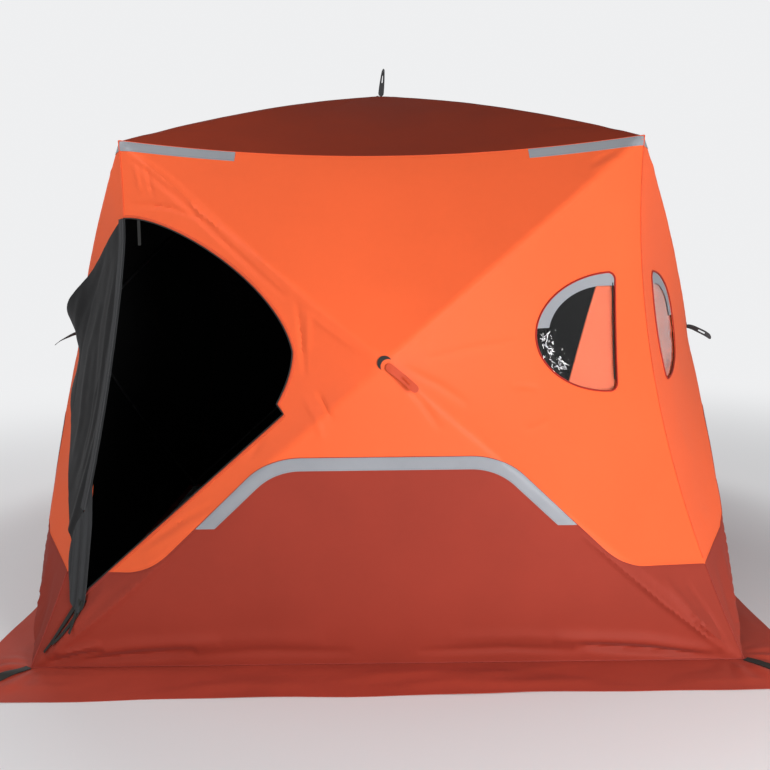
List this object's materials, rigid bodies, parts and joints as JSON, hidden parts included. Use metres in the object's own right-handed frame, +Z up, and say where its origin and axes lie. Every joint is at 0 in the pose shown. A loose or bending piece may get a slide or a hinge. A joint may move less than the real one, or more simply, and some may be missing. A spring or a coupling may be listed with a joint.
{
  "type": "pop-up ice fishing shelter",
  "caption": "Square pop-up ice fishing shelter with bulging hub-sprung walls, an open arched door, D-shaped windows, reflective tapes and a snow skirt.",
  "frame": {"origin": "On the ground, in the middle of the square base.", "axes": "+Z up; the wall with the open door faces -Y, and the door is at its -X side, seen from outside on the left."},
  "size_m": [2.985, 2.87, 2.1832],
  "materials": {
    "black_webbing": "black woven webbing",
    "brick_shell_cloth": "brick red coated polyester, fine plain weave",
    "cover_cloth": "coral window cover cloth",
    "hem_tape": "grey hem tape",
    "lining_cloth": "dark charcoal lining",
    "loop_cloth": "folded coral cloth loop",
    "moulded_plastic": "black moulded nylon",
    "orange_shell_cloth": "bright orange coated polyester, fine plain weave, soft sheen",
    "piping": "dark red piping",
    "pole_fibreglass": "black fibreglass rod",
    "reflective_tape": "grey retroreflective tape",
    "roof_cloth": "brown red coated polyester",
    "skirt_cloth": "brick red polyester, creased where it lies on the snow",
    "window_film": "clear vinyl film",
    "zip_metal": "black enamelled zip puller"
  },
  "bodies": {
    "root": {"anchor_straps": "black_webbing", "back_snow_skirt": "skirt_cloth", "back_wall_hub": "moulded_plastic", "back_wall_lower": "brick_shell_cloth", "back_wall_poles": "pole_fibreglass", "back_wall_upper": "orange_shell_cloth", "back_window_film": "window_film", "base_corner_sockets": "moulded_plastic", "corner_tapes": "reflective_tape", "door_flap": "lining_cloth", "door_hinge_hem": "hem_tape", "door_tie_strap": "black_webbing", "door_zip": "black_webbing", "door_zip_pulls": "zip_metal", "front_snow_skirt": "skirt_cloth", "front_wall_hub": "moulded_plastic", "front_wall_lower": "brick_shell_cloth", "front_wall_poles": "pole_fibreglass", "front_wall_upper": "orange_shell_cloth", "front_window_film": "window_film", "hub_tabs": "black_webbing", "left_snow_skirt": "skirt_cloth", "left_wall_hub": "moulded_plastic", "left_wall_lower": "brick_shell_cloth", "left_wall_poles": "pole_fibreglass", "left_wall_upper": "orange_shell_cloth", "left_window_film": "window_film", "pull_loops": "loop_cloth", "right_snow_skirt": "skirt_cloth", "right_wall_hub": "moulded_plastic", "right_wall_lower": "brick_shell_cloth", "right_wall_poles": "pole_fibreglass", "right_wall_upper": "orange_shell_cloth", "right_window_film": "window_film", "roof_canopy": "roof_cloth", "roof_hub": "moulded_plastic", "roof_poles": "pole_fibreglass", "seam_tapes": "reflective_tape", "top_corner_sockets": "moulded_plastic", "window_bindings": "piping", "window_covers": "cover_cloth", "window_header_bands": "reflective_tape"}
  },
  "joints": []
}
